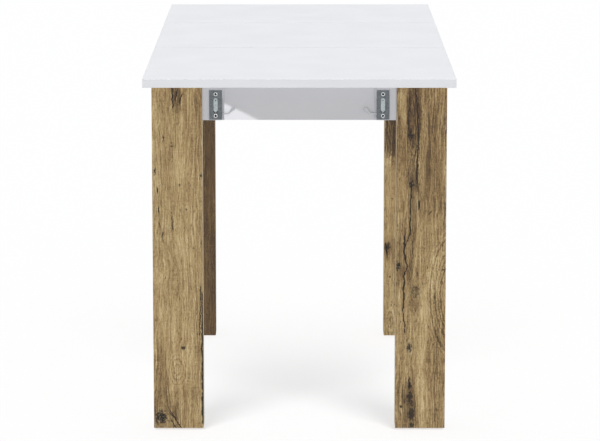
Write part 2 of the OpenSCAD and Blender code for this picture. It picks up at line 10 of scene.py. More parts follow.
import bmesh
import bpy
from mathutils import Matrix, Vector

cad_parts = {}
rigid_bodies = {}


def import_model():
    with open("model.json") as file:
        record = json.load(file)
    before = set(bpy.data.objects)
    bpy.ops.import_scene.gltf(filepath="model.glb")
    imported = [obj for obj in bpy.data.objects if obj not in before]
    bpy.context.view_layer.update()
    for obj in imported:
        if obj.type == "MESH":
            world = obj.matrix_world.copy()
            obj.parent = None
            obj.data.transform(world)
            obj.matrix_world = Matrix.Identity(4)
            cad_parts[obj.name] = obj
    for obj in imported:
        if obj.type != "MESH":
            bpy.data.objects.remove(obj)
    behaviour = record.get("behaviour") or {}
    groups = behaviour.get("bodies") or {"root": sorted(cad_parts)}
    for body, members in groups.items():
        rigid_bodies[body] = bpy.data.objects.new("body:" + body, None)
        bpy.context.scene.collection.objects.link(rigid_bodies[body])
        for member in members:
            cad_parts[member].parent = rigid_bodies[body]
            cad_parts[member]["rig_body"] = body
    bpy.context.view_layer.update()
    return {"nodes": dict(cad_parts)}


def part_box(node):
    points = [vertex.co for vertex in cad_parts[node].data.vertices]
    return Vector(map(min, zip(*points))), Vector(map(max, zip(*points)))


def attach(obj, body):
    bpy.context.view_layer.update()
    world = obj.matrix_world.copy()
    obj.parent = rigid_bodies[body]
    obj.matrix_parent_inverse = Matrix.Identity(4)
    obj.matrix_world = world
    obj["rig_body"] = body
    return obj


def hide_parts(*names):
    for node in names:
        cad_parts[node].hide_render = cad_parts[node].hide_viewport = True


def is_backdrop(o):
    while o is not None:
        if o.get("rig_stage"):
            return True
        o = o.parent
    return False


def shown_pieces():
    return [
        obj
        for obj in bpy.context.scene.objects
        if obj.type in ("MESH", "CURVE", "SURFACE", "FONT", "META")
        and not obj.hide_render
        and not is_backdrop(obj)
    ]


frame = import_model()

NODES = frame["nodes"]
MM = 0.001


# ---- Node graphs written as arithmetic ----


class Value:
    """A number that varies over a surface: the output of one node."""

    def __init__(self, graph, socket):
        self.graph = graph
        self.socket = socket

    def __add__(self, other):
        return self.graph.math("ADD", self, other)

    def __sub__(self, other):
        return self.graph.math("SUBTRACT", self, other)

    def __rsub__(self, other):
        return self.graph.math("SUBTRACT", other, self)

    def __mul__(self, other):
        return self.graph.math("MULTIPLY", self, other)

    def __truediv__(self, other):
        return self.graph.math("DIVIDE", self, other)

    __radd__ = __add__
    __rmul__ = __mul__

    def abs(self):
        return self.graph.math("ABSOLUTE", self, 0.0)

    def sine(self):
        return self.graph.math("SINE", self, 0.0)

    def root(self):
        return self.graph.math("SQRT", self, 0.0)

    def most(self, other):
        return self.graph.math("MAXIMUM", self, other)

    def rise(self, low, high):
        """0 below low, 1 above high, and smooth between them. It falls where high is below low."""
        return self.graph.rise(self, low, high)


class Graph:
    """One material's node tree."""

    def __init__(self, name):
        self.material = bpy.data.materials.new(name)
        self.material.use_nodes = True
        self.tree = self.material.node_tree
        self.tree.nodes.clear()

    def node(self, kind, **settings):
        made = self.tree.nodes.new(kind)
        for name, value in settings.items():
            setattr(made, name, value)
        return made

    def feed(self, socket, value):
        if isinstance(value, Value):
            self.tree.links.new(value.socket, socket)
        elif isinstance(value, tuple) and len(value) == 3 and socket.type == "RGBA":
            socket.default_value = (*value, 1.0)
        else:
            socket.default_value = value

    def math(self, operation, a, b):
        node = self.node("ShaderNodeMath", operation=operation)
        self.feed(node.inputs[0], a)
        self.feed(node.inputs[1], b)
        return Value(self, node.outputs[0])

    def rise(self, value, low, high):
        node = self.node("ShaderNodeMapRange", interpolation_type="SMOOTHSTEP")
        self.feed(node.inputs["Value"], value)
        self.feed(node.inputs["From Min"], min(low, high))
        self.feed(node.inputs["From Max"], max(low, high))
        up = Value(self, node.outputs[0])
        return up if low < high else 1.0 - up

    def vector(self, x, y, z=0.0):
        node = self.node("ShaderNodeCombineXYZ")
        for socket, value in zip(node.inputs, (x, y, z)):
            self.feed(socket, value)
        return Value(self, node.outputs[0])

    def split(self, vector):
        node = self.node("ShaderNodeSeparateXYZ")
        self.feed(node.inputs[0], vector)
        return [Value(self, out) for out in node.outputs]

    def place(self):
        """The point's own place in millimetres, which moves with the piece."""
        node = self.node("ShaderNodeTexCoord")
        return [axis / MM for axis in self.split(Value(self, node.outputs["Object"]))]

    def unrolled(self):
        """Distance round a leg and height up it, in millimetres."""
        node = self.node("ShaderNodeUVMap", uv_map=UNROLL)
        across, up, _ = self.split(Value(self, node.outputs["UV"]))
        return across / MM, up / MM

    def noise(self, x, y, z=0.0, detail=2.0, rough=0.5, contrast=0.25):
        """Cloudy noise from 0 to 1, about one unit to a feature. contrast is half its raw range."""
        node = self.node("ShaderNodeTexNoise")
        self.feed(node.inputs["Vector"], self.vector(x, y, z))
        self.feed(node.inputs["Scale"], 1.0)
        self.feed(node.inputs["Detail"], detail)
        self.feed(node.inputs["Roughness"], rough)
        return self.rise(Value(self, node.outputs["Fac"]), 0.5 - contrast, 0.5 + contrast)

    def cells(self, x, y, z=0.0):
        """Distance to the nearest of scattered points about one unit apart."""
        node = self.node("ShaderNodeTexVoronoi")
        self.feed(node.inputs["Vector"], self.vector(x, y, z))
        self.feed(node.inputs["Scale"], 1.0)
        return Value(self, node.outputs["Distance"])

    def mix(self, share, a, b):
        """Colour a where share is 0 and b where it is 1. Sockets 6, 7 and 2 are the node's colour ones."""
        node = self.node("ShaderNodeMix", data_type="RGBA")
        self.feed(node.inputs[0], share)
        self.feed(node.inputs[6], a)
        self.feed(node.inputs[7], b)
        return Value(self, node.outputs[2])

    def ramp(self, value, *colours):
        """Colours spread evenly from value 0 to value 1."""
        node = self.node("ShaderNodeValToRGB")
        stops = node.color_ramp.elements
        while len(stops) < len(colours):
            stops.new(0.5)
        for i, colour in enumerate(colours):
            stops[i].position = i / (len(colours) - 1)
            stops[i].color = (*colour, 1.0)
        self.feed(node.inputs[0], value)
        return Value(self, node.outputs[0])

    def bump(self, height, depth):
        """A surface normal tilted by a height from 0 to 1 that stands for a depth in metres."""
        node = self.node("ShaderNodeBump")
        self.feed(node.inputs["Strength"], 1.0)
        self.feed(node.inputs["Distance"], depth)
        self.feed(node.inputs["Height"], height)
        return Value(self, node.outputs[0])

    def surface(self, colour, roughness, normal=None, **constants):
        shader = self.node("ShaderNodeBsdfPrincipled")
        self.feed(shader.inputs["Base Color"], colour)
        self.feed(shader.inputs["Roughness"], roughness)
        if normal is not None:
            self.feed(shader.inputs["Normal"], normal)
        for name, value in constants.items():
            self.feed(shader.inputs[name.replace("_", " ")], value)
        output = self.node("ShaderNodeOutputMaterial")
        self.tree.links.new(shader.outputs[0], output.inputs["Surface"])
        return self.material


def rgb(red, green, blue):
    """A colour as the eye sees it, 0 to 255, turned into the light that it reflects (the sRGB curve)."""

    def linear(part):
        share = part / 255
        return share / 12.92 if share <= 0.04045 else ((share + 0.055) / 1.055) ** 2.4

    return linear(red), linear(green), linear(blue)


# ---- Materials ----



def sides_of(node):
    """How long a CAD node is along X, Y and Z, to a tenth of a millimetre."""
    low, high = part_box(node)
    return [round(side, 4) for side in high - low]


UNROLL = "unroll"
LEG_W, LEG_D, _ = sides_of("leg_near_left")


def laminate(name, light, dark, gloss):
    """Pressed melamine: almost even, with a faint cloud and the fine dimples of its press plate."""
    g = Graph(name)
    x, y, z = g.place()
    cloud = g.noise(x / 90, y / 90, z / 90, detail=3)
    grains = g.noise(x / 1.4, y / 1.4, z / 1.4, detail=1)
    dimples = g.noise(x / 0.9, y / 0.9, z / 0.9, detail=2)
    scuffs = g.noise(x / 5, y / 60, z / 5, detail=3)
    colour = g.mix(cloud * 0.7 + grains * 0.3, dark, light)
    roughness = gloss + cloud * 0.05 + scuffs * 0.04
    return g.surface(colour, roughness, g.bump(dimples + scuffs * 0.2, 0.02 * MM), IOR=1.48)


def edging(name, light, dark):
    """Extruded plastic edging: fine lines of its die along the board, and scraper marks across."""
    g = Graph(name)
    x, y, z = g.place()
    cloud = g.noise((x + y) / 120, z / 30, detail=2)
    lines = g.noise((x + y) / 80, z / 0.5, detail=2)
    chatter = g.noise((x + y) / 1.6, z / 14, detail=1)
    colour = g.mix(cloud * 0.6 + lines * 0.4, dark, light)
    roughness = 0.34 + lines * 0.1
    return g.surface(colour, roughness, g.bump(lines * 0.6 + chatter * 0.4, 0.03 * MM), IOR=1.5)


def softwood(name, light, dark, stretch_x, stretch_y, stretch_z):
    """Planed plain wood. The stretches are how far its grain runs along each axis, in millimetres."""
    g = Graph(name)
    x, y, z = g.place()
    broad = g.noise(x / stretch_x, y / stretch_y, z / stretch_z, detail=4, rough=0.6)
    fine = g.noise(x / stretch_x * 6, y / stretch_y * 6, z / stretch_z * 6, detail=3, rough=0.6)
    colour = g.mix(broad * 0.6 + fine * 0.4, dark, light)
    return g.surface(colour, 0.62 + fine * 0.12, g.bump(fine, 0.08 * MM), IOR=1.4)


def chipboard(name):
    """The cut edge of particle board: pressed chips of several tones, with dark gaps between them."""
    g = Graph(name)
    x, y, z = g.place()
    chips = g.cells(x / 2.2, y / 2.2, z / 2.2)
    tone = g.noise(x / 2.4, y / 2.4, z / 2.4, detail=3, rough=0.7)
    colour = g.ramp(tone * 0.75 + chips * 0.25, rgb(104, 80, 52), rgb(165, 134, 94), rgb(203, 176, 134))
    return g.surface(colour, 0.8 + tone * 0.1, g.bump(chips + tone, 0.25 * MM), IOR=1.35)


def plated(name, light, dark, metal, rough, flake):
    """Zinc-plated steel: a cloudy grey with fine flakes and short handling scratches."""
    g = Graph(name)
    x, y, z = g.place()
    cloud = g.noise(x / 7, y / 7, z / 7, detail=4, rough=0.65)
    flakes = g.cells(x / flake, y / flake, z / flake)
    scratch = g.noise(x / 0.35, y / 9, z / 9, detail=2)
    colour = g.mix(cloud * 0.6 + flakes * 0.5, dark, light)
    roughness = rough + cloud * 0.14 - scratch * 0.08
    height = flakes * 0.5 + scratch * 0.5
    return g.surface(colour, roughness, g.bump(height, 0.02 * MM), Metallic=metal)


def plastic(name, light, dark, rough):
    """Moulded plastic with a faint flow pattern and a fine matt grain."""
    g = Graph(name)
    x, y, z = g.place()
    flow = g.noise(x / 12, y / 12, z / 12, detail=3)
    grain = g.noise(x / 0.5, y / 0.5, z / 0.5, detail=2)
    colour = g.mix(flow * 0.7 + grain * 0.3, dark, light)
    return g.surface(colour, rough + grain * 0.1, g.bump(grain, 0.03 * MM), IOR=1.5)


# ---- Oak figure ----


class Figure:
    """What is drawn on one leg's wood, in millimetres.

    z is height above the floor. x runs from the front face's left edge to the right, and on round the
    corners: the left side is below 0, and the right side starts at the leg's width.
    seed picks the noise, tone moves the whole leg from dark, 0, to light, 1, and contrast scales its grain.
    bands: (x, width, z low, z high, strength), broad stretches that are darker, or lighter below 0. One
    stronger than HEART_FROM has dark heart streaks too.
    cracks: (x at top, z top, x at bottom, z bottom, width).
    knots: (x, z, radius, height over width, darkness of its middle).
    arches: (x, z, half width, half height, strength), nested growth lines round a point.
    slants: (x low, x high, z low, z high, strength), short lines that climb to the right.
    """

    def __init__(self, seed, tone, contrast=1.0, bands=(), cracks=(), knots=(), arches=(), slants=()):
        self.seed = seed
        self.tone = tone
        self.contrast = contrast
        self.bands = bands
        self.cracks = cracks
        self.knots = knots
        self.arches = arches
        self.slants = slants


FIGURES = {
    "leg_near_left": Figure(
        seed=3.0,
        tone=0.62,
        bands=[
            (53, 13, 704, 800, 0.70),
            (44, 6, 700, 800, 0.60),
            (18, 20, 40, 190, 0.45),
            (98, 12, 560, 800, 0.40),
            (62, 28, 380, 620, -0.20),
            (44, 16, -10, 60, 0.62),
            (62, 8, -10, 42, 0.50),
            (8, 12, -10, 60, 0.45),
            # Paler all down the inner side face: a painted highlight for the light that this face catches.
            (137, 32, -20, 800, -0.9),
        ],
        cracks=[
            (44, 757, 46, 708, 2.6),
            (56, 750, 52, 728, 2.4),
            (66, 740, 60, 716, 1.8),
            (43, 474, 44, 442, 1.7),
            (21, 440, 23, 416, 1.7),
            (10, 536, 12, 524, 3.0),
            (6, 578, 8, 566, 2.4),
            (13, 494, 14, 480, 2.0),
            (24, 650, 25, 634, 1.7),
            (14, 460, 17, 448, 1.4),
            (103, 320, 101, 210, 1.8),
            (106, 306, 107, 236, 2.6),
            (107, 240, 106, 168, 3.6),
            (108, 172, 107, 14, 5.0),
            (34, 40, 62, 2, 2.2),
            (30, 52, 48, 24, 1.6),
            (36, 24, 50, 2, 1.8),
        ],
        knots=[
            (16, 27, 10.0, 1.1, 1.0),
            (65, 184, 3.0, 1.2, 0.9),
            (105, 562, 2.2, 1.0, 0.95),
            (59, 542, 1.3, 1.3, 0.7),
            (89, 403, 1.4, 1.0, 0.7),
            (43, 626, 2.4, 0.6, 0.6),
            (75, 109, 1.4, 0.6, 0.6),
            (73, 488, 1.6, 1.0, 0.55),
        ],
        arches=[
            (52, 134, 25, 46, 0.55),
        ],
    ),
    "leg_near_right": Figure(
        seed=11.0,
        tone=0.53,
        contrast=1.1,
        bands=[
            (36, 15, 528, 800, 1.00),
            (45, 5, 520, 800, 1.0),
            (27, 4, 560, 720, 0.7),
            (78, 58, 480, 840, 0.50),
            (10, 16, 560, 840, 0.40),
            (30, 16, 0, 104, 0.55),
            (55, 14, -20, 320, -0.70),
            (60, 12, 160, 420, -0.35),
            (88, 16, -20, 300, 0.25),
            (12, 14, 330, 450, 0.40),
            (68, 7, 520, 700, 0.30),
            (80, 22, 300, 540, -0.25),
            (28, 10, 330, 470, 0.45),
            # Paler all down the inner side face: a painted highlight for the light that this face catches.
            (-29, 32, -20, 800, -0.9),
        ],
        cracks=[
            (40, 757, 46, 690, 1.6),
            (46, 692, 46, 640, 2.2),
            (46, 640, 44, 545, 1.7),
            (28, 735, 25, 660, 1.1),
            (32, 540, 30, 430, 2.6),
            (30, 436, 18, 404, 1.7),
            (18, 432, 18, 388, 3.0),
            (18, 392, 24, 364, 3.0),
            (24, 366, 18, 340, 3.0),
            (18, 342, 16, 262, 2.8),
            (16, 264, 21, 214, 1.8),
            (35, 420, 37, 380, 1.4),
            (50, 508, 49, 488, 3.0),
            (76, 484, 70, 477, 2.6),
            (29, 120, 31, 90, 1.8),
        ],
        knots=[
            (30, 649, 4.4, 1.6, 1.0),
            (33, 544, 4.4, 1.5, 1.0),
            (5, 364, 4.2, 1.9, 1.0),
            (43, 306, 7.0, 1.2, 0.25),
            (30, 183, 3.8, 1.9, 0.9),
            (32, 72, 5.0, 2.2, 0.85),
            (31, 100, 2.6, 2.6, 0.9),
            (35, 36, 6.0, 2.0, 0.75),
            (12, 52, 1.8, 1.2, 0.9),
            (35, 10, 4.0, 1.3, 0.8),
            (47, 349, 1.6, 1.0, 0.8),
            (102, 356, 4.0, 0.3, 0.9),
        ],
        arches=[
            (36, 628, 12, 36, 0.8),
            (126, 300, 68, 170, 0.85),
        ],
        slants=[
            (30, 50, 452, 520, 1.1),
        ],
    ),
    "leg_far_left": Figure(
        seed=23.0,
        tone=0.42,
        contrast=0.6,
        # The first band, darker down the front face's right part and the inner side, is painted shade. It
        # comes three times because one of its whole strength would have heart streaks.
        bands=[
            (104, 66, -60, 860, 0.50),
            (104, 66, -60, 860, 0.50),
            (104, 66, -60, 860, 0.18),
            (101, 7, -20, 800, -0.15),
            (30, 16, 200, 700, 0.3),
        ],
        cracks=[
            (40, 500, 36, 300, 1.4),
        ],
        knots=[
            (60, 250, 5.0, 1.4, 0.85),
            (30, 610, 6.0, 1.3, 0.8),
        ],
        arches=[
            (50, 420, 26, 120, 0.6),
        ],
    ),
    "leg_far_right": Figure(
        seed=37.0,
        tone=0.64,
        contrast=0.9,
        bands=[
            # Dark heartwood over the leg's top, from about 456 mm up, also stands in for painted shade
            # under the table top.
            (16, 30, 456, 840, 1.30),
            (27, 8, 430, 840, 0.9),
            (14, 22, 196, 256, 0.45),
            (80, 18, 100, 500, 0.4),
        ],
        cracks=[
            (27, 600, 27, 470, 2.4),
            (27, 250, 28, 60, 1.2),
            (4, 236, 8, 200, 2.4),
            (70, 620, 66, 430, 1.4),
        ],
        knots=[
            (8, 226, 5.0, 1.8, 0.8),
            (15, 152, 1.6, 1.0, 0.6),
            (20, 350, 2.0, 0.5, 0.5),
            (64, 330, 7.0, 1.3, 0.85),
        ],
        arches=[
            (16, 44, 14, 40, 0.8),
        ],
    ),
}

RING_PITCH = 5.6
LINE_DEPTH = 0.42
BAND_DEPTH = 0.32
HEART_FROM = 0.5
HEART_DEPTH = 0.6
OAK_TONES = (
    rgb(66, 49, 30),
    rgb(114, 91, 58),
    rgb(154, 129, 87),
    rgb(184, 161, 115),
    rgb(212, 192, 149),
)
OAK_HEART = rgb(54, 40, 27)
OAK_KNOT = rgb(22, 15, 11)
OAK_PALE = rgb(188, 165, 125)
OAK_WARM = rgb(158, 120, 74)


def window(value, low, high, soft):
    """1 between low and high and 0 outside, half at each end and smooth for a soft length either side."""
    return value.rise(low - soft, low + soft) * value.rise(high + soft, high - soft)


def oak(name, figure):
    """Old oak decor wrapped round a leg: fibres, pores, saw marks, heart streaks, cracks and knots."""
    g = Graph(name)
    around, z = g.unrolled()
    x = around - LEG_D / MM
    seed = figure.seed

    # Where the fibres run: nearly straight, and bent a little round each knot.
    sway = g.noise(x / 60, z / 200, seed, detail=2) - 0.5
    ragged = g.noise(x / 2.4, z / 6, seed + 5, detail=3, rough=0.7) - 0.5
    fibre = x + sway * 8 + (g.noise(x / 12, z / 42, seed + 1, detail=1) - 0.5) * 2.6
    wobble = g.noise(x / 4.5, z / 8, seed + 20, detail=2) - 0.5
    core = None
    halo = None
    rings = None
    for kx, kz, radius, tall, dark in figure.knots:
        dx = x - kx
        dz = (z - kz) / tall
        far = dx * dx + dz * dz
        near = (dx * dx + dz * dz * 0.12) / (radius * radius)
        fibre = fibre - dx / (near + 0.35) * 0.8
        d = far.root() / radius + ragged * 0.8 + wobble * 1.2
        spot = d.rise(1.15, 0.6) * dark
        shade = d.rise(2.6, 0.9) * (0.25 + 0.6 * dark)
        ring = window(d, 0.86, 1.12, 0.16) * 0.85
        core = spot if core is None else core.most(spot)
        halo = shade if halo is None else halo.most(shade)
        rings = ring if rings is None else rings.most(ring)

    # Fibres at several widths, short dashes among them, and grit as fine as the foil shows.
    broad = g.noise(fibre / 19, z / 420, seed + 2, detail=2)
    middle = g.noise(fibre / 8, z / 170, seed + 3, detail=3, rough=0.6)
    growth = g.noise(fibre / 3.1, z / 130, seed + 4, detail=2, rough=0.6)
    dashes = g.noise(fibre / 2.6, z / 24, seed + 6, detail=3, rough=0.75)
    grit = g.noise(fibre / 1.8, z / 4.5, seed + 17, detail=2, rough=0.7)
    pale = g.noise(fibre / 2.4, z / 40, seed + 18, detail=2).rise(0.62, 0.92)
    pores = g.noise(fibre / 1.3, z / 10, seed + 7, detail=2).rise(0.66, 0.92)
    blotch = g.noise(x / 24, z / 46, seed + 8, detail=3)
    saw_patch = g.noise(x / 60, z / 60, seed + 9, detail=1).rise(0.35, 0.75)
    saw = g.noise(x / 30, z / 2.6, seed + 10, detail=2) * saw_patch
    flecks = g.cells(x / 8 + sway, z / 24, seed + 12).rise(0.22, 0.08) * ragged.rise(-0.2, 0.15)

    grain = (
        (broad - 0.5) * 0.16
        + (middle - 0.5) * 0.16
        + (growth - 0.5) * 0.40
        + (dashes - 0.5) * 0.36
        + (grit - 0.5) * 0.22
        + (blotch - 0.5) * 0.10
        + pale * 0.15
        - saw * 0.09
        - pores * 0.20
    )
    tone = figure.tone + grain * figure.contrast

    # Growth lines nested round a point, and short slanting ones, drawn over the fibres.
    for ax, az, half_w, half_h, strength in figure.arches:
        dx = x - ax
        dz = (z - az) * (half_w / half_h)
        d = (dx * dx + dz * dz).root() + ragged * 1.4 + wobble * 2.2
        wave = (d * (math.tau / RING_PITCH)).sine() * 0.5 + g.noise(d / 7, seed + ax, detail=2)
        lines = wave.rise(0.45, 1.05) - 0.35
        tone = tone - lines * d.rise(half_w, half_w * 0.8) * (LINE_DEPTH * strength)
    for x_low, x_high, z_low, z_high, strength in figure.slants:
        wave = ((z - x * 1.1 + wobble * 3) * (math.tau / RING_PITCH)).sine() * 0.5 + 0.5
        lines = wave.rise(0.40, 0.90) - 0.4
        here = window(x, x_low, x_high, 3) * window(z, z_low, z_high, 8)
        tone = tone - lines * here * (LINE_DEPTH * strength)

    # Bands of darker heartwood and paler sapwood, with streaky sides. Some bands are painted light instead:
    # painted shade down the far left leg and over the far right leg's top, and a painted highlight down the
    # near legs' inner sides.
    heart = None
    for bx, width, z_low, z_high, strength in figure.bands:
        streaky = (fibre - bx + ragged * 4).abs() + (growth - 0.5) * width * 0.45
        band = streaky.rise(width * 0.9, width * 0.35) * window(z + ragged * 22, z_low, z_high, 18)
        tone = tone - band * (BAND_DEPTH * strength)
        if strength > HEART_FROM:
            deep = band * dashes.rise(0.85, 0.25) * (strength * HEART_DEPTH)
            heart = deep if heart is None else heart.most(deep)

    # Cracks wander a little and break off here and there.
    crack = None
    drift = (g.noise(z / 16, seed + 13, detail=2) - 0.5) * 3.0 + ragged * 1.4
    broken = 0.7 + g.noise(x / 8, z / 13, seed + 14, detail=2) * 0.6
    for x_top, z_top, x_low, z_low, width in figure.cracks:
        slope = (x_top - x_low) / (z_top - z_low)
        line = (x + drift - (z - z_low) * slope - x_low).abs()
        cut = (line / broken).rise(width * 0.8, width * 0.35) * window(z, z_low, z_top, 4)
        crack = cut if crack is None else crack.most(cut)

    colour = g.ramp(tone, *OAK_TONES)
    warmth = g.noise(fibre / 24, z / 260, seed + 15, detail=1)
    colour = g.mix(warmth * 0.16, colour, OAK_WARM)
    if heart is not None:
        colour = g.mix(heart, colour, OAK_HEART)
    colour = g.mix(halo * (0.2 + 0.6 * growth), colour, OAK_HEART)
    colour = g.mix(flecks * 0.75, colour, OAK_HEART)
    colour = g.mix(rings, colour, OAK_KNOT)
    colour = g.mix(core, colour, OAK_KNOT)
    pale_heart = core.rise(0.93, 0.98) * g.noise(x / 3.4, z / 3.4, seed + 16, detail=2).rise(0.60, 0.80)
    colour = g.mix(pale_heart * 0.5, colour, OAK_PALE)
    colour = g.mix(crack * 0.96, colour, OAK_KNOT)

    height = 1.0 - pores * 0.5 - crack * 1.2 - core * 0.4 - flecks * 0.4 + dashes * 0.3 - saw * 0.2
    roughness = 0.52 + grit * 0.08 + crack * 0.2 + pores * 0.12 - growth * 0.05
    return g.surface(colour, roughness, g.bump(height, 0.14 * MM), IOR=1.45)


# ---- Pieces ----

WELD = 0.01 * MM
FLAT = math.radians(1.0)
SHARP = math.radians(60.0)
HOLE_RIM = 8 * MM
EASE_STEPS = 3
LEG_EASE = 0.8 * MM
SKIN = 1.0 * MM
ENDWISE = 0.9


def whole(node):
    """A node's shape with its triangles joined up and its flat faces made whole."""
    source = NODES[node].data
    joined = bpy.data.meshes.new("joined")
    corners = [v.co for v in source.vertices]
    joined.from_pydata(corners, [], [list(p.vertices) for p in source.polygons])
    shape = bmesh.new()
    shape.from_mesh(joined)
    bpy.data.meshes.remove(joined)
    bmesh.ops.remove_doubles(shape, verts=shape.verts, dist=WELD)
    bmesh.ops.dissolve_limit(shape, angle_limit=FLAT, verts=shape.verts, edges=shape.edges)
    return shape


def long_corners(shape):
    """The sharp straight edges of a shape, leaving out the short ones round its holes."""
    return [
        edge
        for edge in shape.edges
        if len(edge.link_faces) == 2
        and edge.calc_face_angle() > SHARP
        and edge.calc_length() > HOLE_RIM
    ]


def eased(node, radius):
    """A node's shape with its corners rounded over. Flat faces stay flat and roundings shade smooth."""
    shape = whole(node)
    for face in shape.faces:
        face.smooth = False
    made = bmesh.ops.bevel(
        shape,
        geom=long_corners(shape),
        offset=radius,
        offset_type="OFFSET",
        segments=EASE_STEPS,
        profile=0.5,
        affect="EDGES",
        clamp_overlap=False,
    )
    for face in made["faces"]:
        face.smooth = True
    bmesh.ops.triangulate(shape, faces=[f for f in shape.faces if len(f.verts) > 4])
    shape.normal_update()
    return shape


def piece(name, shape, node, slot, *materials):
    """Puts a finished shape in the scene in place of a CAD node."""
    mesh = bpy.data.meshes.new(name)
    shape.to_mesh(mesh)
    shape.free()
    made = bpy.data.objects.new(name, mesh)
    bpy.context.scene.collection.objects.link(made)
    for material in materials:
        mesh.materials.append(material)
    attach(made, NODES[node]["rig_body"])
    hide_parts(node)


def paint(node, material):
    """Gives a CAD node that keeps its own shape a new material."""
    mesh = NODES[node].data
    mesh.materials.clear()
    mesh.materials.append(material)


def leg(node, material, core):
    """A leg wrapped in foil from its back left corner round, with bare board at its ends and inside."""
    low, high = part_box(node)
    shape = eased(node, LEG_EASE)
    unroll = shape.loops.layers.uv.new(UNROLL)
    for face in shape.faces:
        middle = face.calc_center_median()
        depth = min(middle.x - low.x, high.x - middle.x, middle.y - low.y, high.y - middle.y)
        end = abs(face.normal.z) >= ENDWISE
        face.material_index = 1 if end or depth >= SKIN else 0
        # The middle strip of each eased back corner belongs to the back.
        back = face.normal.y > max(0.5, abs(face.normal.x) - 0.1)
        for corner in face.loops:
            at = corner.vert.co
            if back:
                around = 2 * LEG_D + LEG_W + (high.x - at.x)
            elif abs(face.normal.y) >= abs(face.normal.x):
                around = LEG_D + (at.x - low.x)
            elif face.normal.x < 0:
                around = LEG_D - (at.y - low.y)
            else:
                around = LEG_D + LEG_W + (at.y - low.y)
            corner[unroll].uv = (around, at.z)
    piece(node + "_wrapped", shape, node, "oak_decor", material, core)


LATHE_SIDES = 36
STAR_POINTS = 6
STAR_DEPTH = 0.16


def lathe(shape, profile, place, inward):
    """Adds a profile of (radius, depth, lobed) points, turned about an axis along Y, to a shape.

    inward is 1 where depth runs along +Y and -1 where it runs along -Y. A lobed ring is a star. The faces
    come back ring by ring, LATHE_SIDES to a ring.
    """
    rings = []
    for radius, depth, lobed in profile:
        ring = []
        for i in range(LATHE_SIDES if radius else 1):
            turn = math.tau * i / LATHE_SIDES
            reach = radius * (1 + STAR_DEPTH * math.cos(STAR_POINTS * turn)) if lobed else radius
            offset = Vector((reach * math.cos(turn), inward * depth, reach * math.sin(turn)))
            ring.append(shape.verts.new(place + offset))
        rings.append(ring)
    faces = []
    for a, b in zip(rings, rings[1:]):
        for i in range(LATHE_SIDES):
            j = (i + 1) % LATHE_SIDES
            corners = [a[i % len(a)], a[j % len(a)], b[j % len(b)], b[i % len(b)]]
            faces.append(shape.faces.new(list(dict.fromkeys(corners))))
            faces[-1].smooth = True
    return faces


WHITE_TOP = laminate("white_laminate", rgb(235, 236, 240), rgb(232, 233, 237), 0.40)
WHITE_BOARD = laminate("white_board", rgb(226, 226, 229), rgb(221, 221, 225), 0.48)
WHITE_EDGE = edging("white_edging", rgb(229, 230, 233), rgb(223, 224, 228))
RAW_WOOD_X = softwood("raw_wood_across", rgb(205, 178, 134), rgb(168, 136, 92), 160, 7, 7)
RAW_WOOD_Y = softwood("raw_wood_along", rgb(205, 178, 134), rgb(168, 136, 92), 7, 160, 7)
RAW_WOOD_Z = softwood("raw_wood_upright", rgb(200, 172, 128), rgb(160, 128, 86), 7, 7, 160)
BARE_BOARD = chipboard("chipboard")
ZINC = plated("zinc_plate", rgb(146, 152, 156), rgb(88, 93, 97), 0.75, 0.44, 1.8)
BRIGHT_ZINC = plated("bright_zinc", rgb(208, 217, 218), rgb(158, 168, 170), 0.85, 0.30, 1.2)
SCREW_ZINC = plated("screw_zinc", rgb(240, 242, 242), rgb(212, 216, 217), 0.7, 0.26, 1.0)
LATCH_ZINC = plated("latch_zinc", rgb(206, 207, 209), rgb(172, 173, 176), 0.4, 0.40, 1.4)
# Near-black for the inside of the screws' sockets: painted shade in the recess.
SOCKET_PAINTED_SHADE = plated("screw_socket", rgb(26, 26, 28), rgb(12, 12, 13), 0.3, 0.60, 1.0)
NYLON = plastic("nylon", rgb(226, 226, 214), rgb(208, 208, 196), 0.5)
GLIDE = plastic("glide_plastic", rgb(78, 70, 66), rgb(52, 47, 45), 0.55)

PLATES = [
    "guide_plate_near_left", "guide_plate_near_right", "guide_plate_far_left", "guide_plate_far_right",
]

# Material, slot, radius of the easing in millimetres, and nodes.
EASED = [
    (WHITE_EDGE, "white_edging", 0.6, ["top_near_edging", "top_far_edging", "leaf_edging"]),
    (WHITE_BOARD, "white_board", 0.5, ["side_apron_left", "side_apron_right"]),
    (WHITE_BOARD, "white_board", 0.5, ["end_apron_near", "end_apron_far"]),
    (ZINC, "zinc_plate", 0.3, PLATES),
    (RAW_WOOD_Y, "raw_wood", 0.8, ["leaf_cleat_left", "leaf_cleat_right"]),
    (RAW_WOOD_X, "raw_wood", 0.8, ["leaf_stiffener", "cross_brace"]),
]

# Nodes that keep their own shape, by material.
PAINTED = {
    WHITE_TOP: ["top_near_board", "top_far_board", "leaf_board"],
    WHITE_BOARD: [
        "upper_batten_left", "upper_batten_right", "lower_batten_left", "lower_batten_right",
        "rail_cover_left", "rail_cover_right",
    ],
    RAW_WOOD_X: ["frame_dowels"],
    RAW_WOOD_Y: ["seam_dowels"],
    RAW_WOOD_Z: ["leg_head_blocks", "leg_foot_blocks"],
    ZINC: [
        "seam_plates", "top_brackets", "leg_washers", "leg_inserts",
        "leaf_hook_left", "leaf_hook_right",
        "near_stop_pin_left", "near_stop_pin_right", "far_stop_pin_left", "far_stop_pin_right",
    ],
    BRIGHT_ZINC: [
        "seam_plate_screws", "leg_bolts", "bracket_screws", "leaf_screws", "leaf_studs", "hook_screws",
        "near_bar_left", "near_bar_right", "far_bar_left", "far_bar_right",
    ],
    LATCH_ZINC: ["latch_near_left", "latch_near_right", "latch_far_left", "latch_far_right"],
    NYLON: ["inner_bar_guides"],
    GLIDE: ["leg_glides"],
}

SCREW_R = 4.5 * MM
SOCKET_SHADE_RINGS = 3
